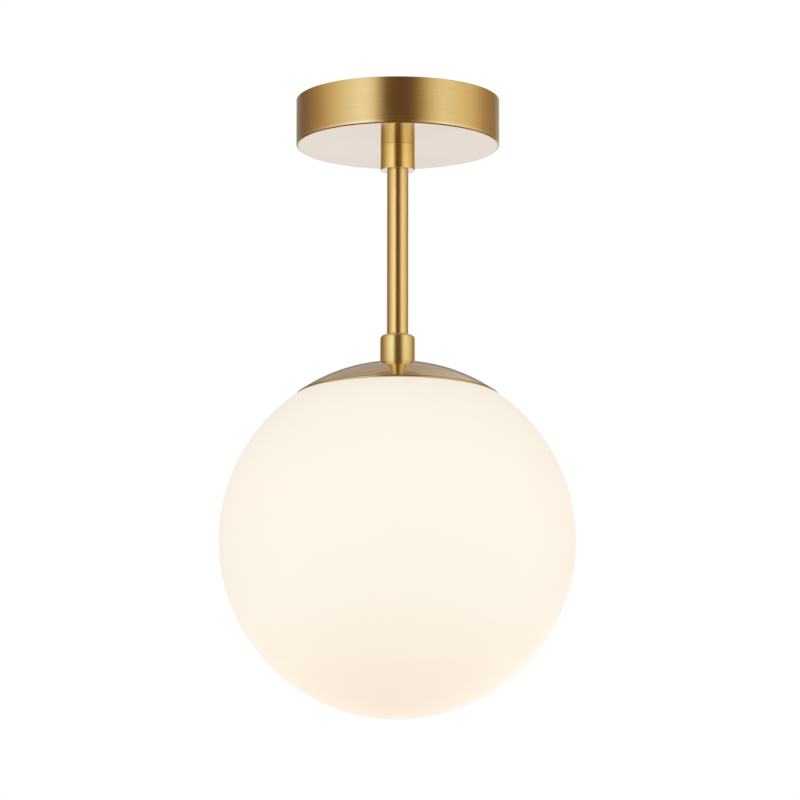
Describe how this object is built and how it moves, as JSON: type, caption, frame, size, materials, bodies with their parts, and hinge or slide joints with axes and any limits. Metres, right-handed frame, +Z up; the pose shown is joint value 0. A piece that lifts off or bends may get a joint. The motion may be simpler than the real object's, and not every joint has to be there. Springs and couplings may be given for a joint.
{
  "type": "globe ceiling light",
  "caption": "Ceiling light with a brass drum canopy, a short stem, a polished metal dome and an opal glass globe that screws out for changing the lamp.",
  "frame": {"origin": "centre of the ceiling plane, on the stem's axis, where the mounting plate meets the ceiling", "axes": "+Z up along the stem's axis, X along the line of the two ceiling slots, -Y the front that the picture shows"},
  "size_m": [0.2, 0.2, 0.3536],
  "materials": {
    "satin_brass": "satin, fine circular brushing",
    "canopy_brass": "satin side, polished underside",
    "dome_brass": "polished",
    "fitting_brass": "machined",
    "zinc_steel": "zinc plated",
    "opal_glass": "satin opal",
    "white_plastic": "moulded",
    "porcelain": "glazed",
    "black_rubber": "matt",
    "foam": "closed-cell foam",
    "silicone": "translucent white",
    "brown_pvc": "smooth",
    "blue_pvc": "smooth",
    "green_yellow_pvc": "striped green and yellow",
    "lamp_metal": "bright",
    "lamp_plastic": "moulded",
    "lamp_opal": "opal, lit",
    "black_glass": "glossy"
  },
  "bodies": {
    "frame": {"mounting_plate": "zinc_steel", "lock_nuts": "fitting_brass", "star_washers": "zinc_steel", "cable_grommet": "black_rubber", "terminal_body": "white_plastic", "terminal_inserts": "fitting_brass", "terminal_screws": "zinc_steel", "terminal_fixings": "zinc_steel", "earth_stud": "zinc_steel", "earth_washer": "zinc_steel", "earth_tag": "fitting_brass", "earth_nut": "zinc_steel", "live_lead": "brown_pvc", "neutral_lead": "blue_pvc", "earth_lead": "green_yellow_pvc", "top_nipple": "fitting_brass", "stem_tube": "satin_brass", "bottom_collar": "satin_brass", "bottom_nipple": "fitting_brass", "dome_cap": "dome_brass", "dome_seal": "silicone", "gallery_spacer": "zinc_steel", "gallery_pan": "zinc_steel", "holder_cap": "porcelain", "holder_body": "porcelain", "holder_insulator": "porcelain", "holder_shell": "fitting_brass", "holder_contact": "fitting_brass", "holder_terminals": "fitting_brass"},
    "canopy_set": {"canopy": "canopy_brass", "canopy_bush": "white_plastic", "rim_seal": "foam"},
    "collar_set": {"top_collar": "satin_brass", "collar_set_screw": "zinc_steel"},
    "gasket_ring": {"glass_gasket": "silicone"},
    "globe": {"globe_glass": "opal_glass"},
    "lamp_button": {"lamp_contact": "lamp_metal"},
    "lamp": {"lamp_insulator": "black_glass", "lamp_shell": "lamp_metal", "lamp_housing": "lamp_plastic", "lamp_diffuser": "lamp_opal"}
  },
  "joints": [
    {"name": "canopy_lower", "type": "slide", "parent": "frame", "child": "canopy_set", "axis": [0, 0, -1], "range_m": [0, 0.09]},
    {"name": "collar_turn", "type": "hinge", "parent": "canopy_set", "child": "collar_set", "pos_m": [0, 0, -0.034], "axis": [0, 0, 1], "continuous": true},
    {"name": "globe_lower", "type": "slide", "parent": "frame", "child": "gasket_ring", "axis": [0, 0, -1], "range_m": [0, 0.00701]},
    {"name": "globe_turn", "type": "hinge", "parent": "gasket_ring", "child": "globe", "pos_m": [0, 0, -0.25356], "axis": [0, 0, -1], "range_deg": [0, 630]},
    {"name": "lamp_lower", "type": "slide", "parent": "frame", "child": "lamp_button", "axis": [0, 0, -1], "range_m": [0, 0.01816]},
    {"name": "lamp_turn", "type": "hinge", "parent": "lamp_button", "child": "lamp", "pos_m": [0, 0, -0.21], "axis": [0, 0, -1], "range_deg": [0, 1800]}
  ],
  "couplings": [
    {"joint": "globe_lower", "follows": "globe_turn", "m_per_rad": 0.00063662},
    {"joint": "lamp_lower", "follows": "lamp_turn", "m_per_rad": 0.00057757}
  ]
}
